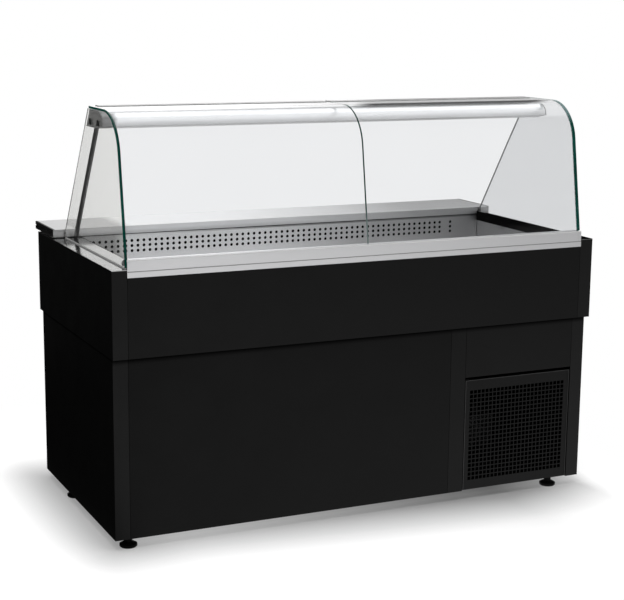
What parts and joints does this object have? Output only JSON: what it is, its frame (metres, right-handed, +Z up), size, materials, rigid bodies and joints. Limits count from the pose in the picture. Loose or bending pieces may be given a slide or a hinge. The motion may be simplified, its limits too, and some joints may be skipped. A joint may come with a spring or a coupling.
{
  "type": "hot food table",
  "caption": "Heated serve-over counter with a forced-air well, curved lift-up front panes, a canopy with heat lamps, a rear worktop and a cupboard with a ventilated machine bay below.",
  "frame": {"origin": "middle of the footprint of the whole table, on the floor", "axes": "+X along the length to the right as seen by a customer, +Y from the customer's front to the operator's side, +Z up"},
  "size_m": [1.6, 0.84, 1.256],
  "materials": {
    "black_board": "satin",
    "black_metal": "satin",
    "grey_metal": "satin",
    "stainless": "satin",
    "polished_steel": "polished",
    "aluminium": "satin",
    "glass": "polished",
    "black_rubber": "matte",
    "black_plastic": "matte",
    "insulation": "matte",
    "lamp": "polished",
    "heater": "satin"
  },
  "bodies": {
    "cabinet": {"base_tray": "black_board", "lower_end_left": "black_board", "lower_end_right": "black_board", "upper_end_left": "black_board", "upper_end_right": "black_board", "upper_front_panel": "black_board", "lower_front_panel": "black_board", "bay_front_panel": "black_board", "partition": "black_board", "upper_rear_panel": "black_board", "bay_grille": "black_metal", "bay_rear_panel": "black_metal", "power_unit": "grey_metal", "front_rail": "stainless", "air_panel": "stainless", "worktop": "stainless", "deck_support": "stainless", "fan_plate": "stainless", "well_floor": "stainless", "well_front_wall": "stainless", "well_rear_wall": "stainless", "well_tray": "stainless", "control_panel": "stainless", "well_left_end": "polished_steel", "well_right_end": "polished_steel", "canopy": "aluminium", "canopy_ends": "aluminium", "hinge_rod": "aluminium", "cable_post": "aluminium", "side_glass_left": "glass", "side_glass_right": "glass", "lamp_cover": "glass", "edge_seals": "black_rubber", "worktop_caps": "black_plastic", "glass_clamps": "black_plastic", "control_box": "black_plastic", "mains_gland": "black_plastic", "insulation": "insulation", "heat_lamps": "lamp", "heaters": "heater"},
    "front_glass_left": {"front_glass_left": "glass", "hinge_leaf_left": "aluminium"},
    "front_glass_right": {"front_glass_right": "glass", "hinge_leaf_right": "aluminium"},
    "door_left": {"door_left": "black_board", "door_knob_left": "aluminium"},
    "door_right": {"door_right": "black_board", "door_knob_right": "aluminium"},
    "deck_left": {"deck_left": "stainless"},
    "deck_middle": {"deck_middle": "stainless"},
    "deck_right": {"deck_right": "stainless"},
    "impeller_left": {"impeller_left": "black_plastic"},
    "impeller_right": {"impeller_right": "black_plastic"},
    "thermostat_knob": {"thermostat_knob": "black_plastic"},
    "power_switch": {"power_switch": "black_plastic"},
    "lamp_switch": {"lamp_switch": "black_plastic"},
    "foot_front_left": {"foot_front_left": "black_metal"},
    "foot_front_right": {"foot_front_right": "black_metal"},
    "foot_rear_left": {"foot_rear_left": "black_metal"},
    "foot_rear_right": {"foot_rear_right": "black_metal"}
  },
  "joints": [
    {"name": "front_glass_left_lift", "type": "hinge", "parent": "cabinet", "child": "front_glass_left", "pos_m": [-0.38, -0.0755, 1.247], "axis": [-1, 0, 0], "range_deg": [0, 60]},
    {"name": "front_glass_right_lift", "type": "hinge", "parent": "cabinet", "child": "front_glass_right", "pos_m": [0.38, -0.0755, 1.247], "axis": [-1, 0, 0], "range_deg": [0, 60]},
    {"name": "door_left_swing", "type": "hinge", "parent": "cabinet", "child": "door_left", "pos_m": [-0.736, 0.341, 0.305], "axis": [0, 0, 1], "range_deg": [0, 100]},
    {"name": "door_right_swing", "type": "hinge", "parent": "cabinet", "child": "door_right", "pos_m": [0.29, 0.341, 0.305], "axis": [0, 0, -1], "range_deg": [0, 100]},
    {"name": "deck_left_lift", "type": "slide", "parent": "cabinet", "child": "deck_left", "axis": [0, 0, 1], "range_m": [0, 0.11]},
    {"name": "deck_middle_lift", "type": "slide", "parent": "cabinet", "child": "deck_middle", "axis": [0, 0, 1], "range_m": [0, 0.11]},
    {"name": "deck_right_lift", "type": "slide", "parent": "cabinet", "child": "deck_right", "axis": [0, 0, 1], "range_m": [0, 0.11]},
    {"name": "impeller_left_spin", "type": "hinge", "parent": "cabinet", "child": "impeller_left", "pos_m": [-0.23, 0.195, 0.652], "axis": [0, 1, 0], "continuous": true},
    {"name": "impeller_right_spin", "type": "hinge", "parent": "cabinet", "child": "impeller_right", "pos_m": [0.275, 0.195, 0.652], "axis": [0, 1, 0], "continuous": true},
    {"name": "thermostat_turn", "type": "hinge", "parent": "cabinet", "child": "thermostat_knob", "pos_m": [0.48, 0.37, 0.69], "axis": [0, -1, 0], "range_deg": [0, 270]},
    {"name": "power_switch_rock", "type": "hinge", "parent": "cabinet", "child": "power_switch", "pos_m": [0.58, 0.362, 0.69], "axis": [1, 0, 0], "range_deg": [0, 14]},
    {"name": "lamp_switch_rock", "type": "hinge", "parent": "cabinet", "child": "lamp_switch", "pos_m": [0.64, 0.362, 0.69], "axis": [1, 0, 0], "range_deg": [0, 14]},
    {"name": "foot_front_left_level", "type": "slide", "parent": "cabinet", "child": "foot_front_left", "axis": [0, 0, -1], "range_m": [0, 0.012]},
    {"name": "foot_front_right_level", "type": "slide", "parent": "cabinet", "child": "foot_front_right", "axis": [0, 0, -1], "range_m": [0, 0.012]},
    {"name": "foot_rear_left_level", "type": "slide", "parent": "cabinet", "child": "foot_rear_left", "axis": [0, 0, -1], "range_m": [0, 0.012]},
    {"name": "foot_rear_right_level", "type": "slide", "parent": "cabinet", "child": "foot_rear_right", "axis": [0, 0, -1], "range_m": [0, 0.012]}
  ]
}
